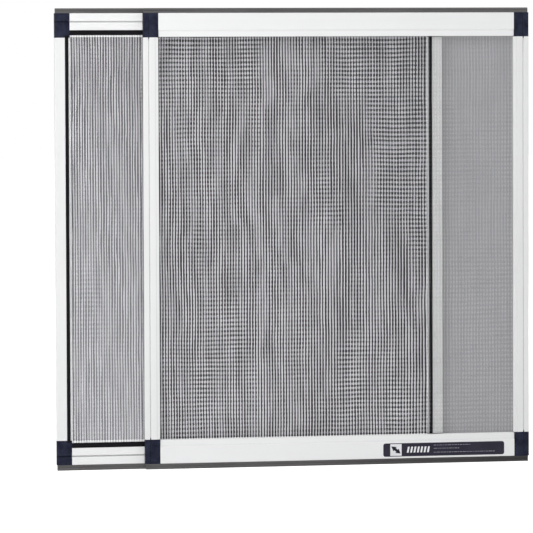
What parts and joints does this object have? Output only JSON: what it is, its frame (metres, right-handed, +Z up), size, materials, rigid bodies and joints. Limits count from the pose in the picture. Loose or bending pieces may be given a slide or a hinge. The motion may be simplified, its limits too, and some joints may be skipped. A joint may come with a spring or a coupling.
{
  "type": "adjustable window screen",
  "caption": "Insect screen for a sash window: two equal aluminium frames with wire mesh, plastic corner keys and edge seals, sliding sideways on each other to suit the opening.",
  "frame": {"origin": "on the sill seal of the front frame, at the middle of its width and of its depth", "axes": "+X to the right as seen from the front, the way the frames slide; +Y away from the viewer, through the thickness; +Z up"},
  "size_m": [0.6375, 0.0172, 0.61],
  "materials": {
    "profile": "white powder coat, satin",
    "corner": "moulded, fine matt texture",
    "seal": "extruded vinyl, satin",
    "spline": "extruded vinyl, ribbed",
    "screen_mesh": "bright woven wire",
    "label": "printed film"
  },
  "bodies": {
    "front_frame": {"front_mesh": "screen_mesh", "front_top_rail": "profile", "front_top_spline": "spline", "front_top_seal": "seal", "front_top_left_corner": "corner", "front_top_right_corner": "corner", "front_bottom_rail": "profile", "front_bottom_spline": "spline", "front_bottom_seal": "seal", "front_bottom_left_corner": "corner", "front_bottom_right_corner": "corner", "front_left_stile": "profile", "front_left_spline": "spline", "front_right_stile": "profile", "front_right_spline": "spline", "front_label": "label"},
    "rear_frame": {"rear_mesh": "screen_mesh", "rear_top_rail": "profile", "rear_top_spline": "spline", "rear_top_seal": "seal", "rear_top_left_corner": "corner", "rear_top_right_corner": "corner", "rear_bottom_rail": "profile", "rear_bottom_spline": "spline", "rear_bottom_seal": "seal", "rear_bottom_left_corner": "corner", "rear_bottom_right_corner": "corner", "rear_left_stile": "profile", "rear_left_spline": "spline", "rear_right_stile": "profile", "rear_right_spline": "spline"}
  },
  "joints": [
    {"name": "width_slide", "type": "slide", "parent": "front_frame", "child": "rear_frame", "axis": [-1, 0, 0], "range_m": [-0.1165, 0.3025]}
  ]
}
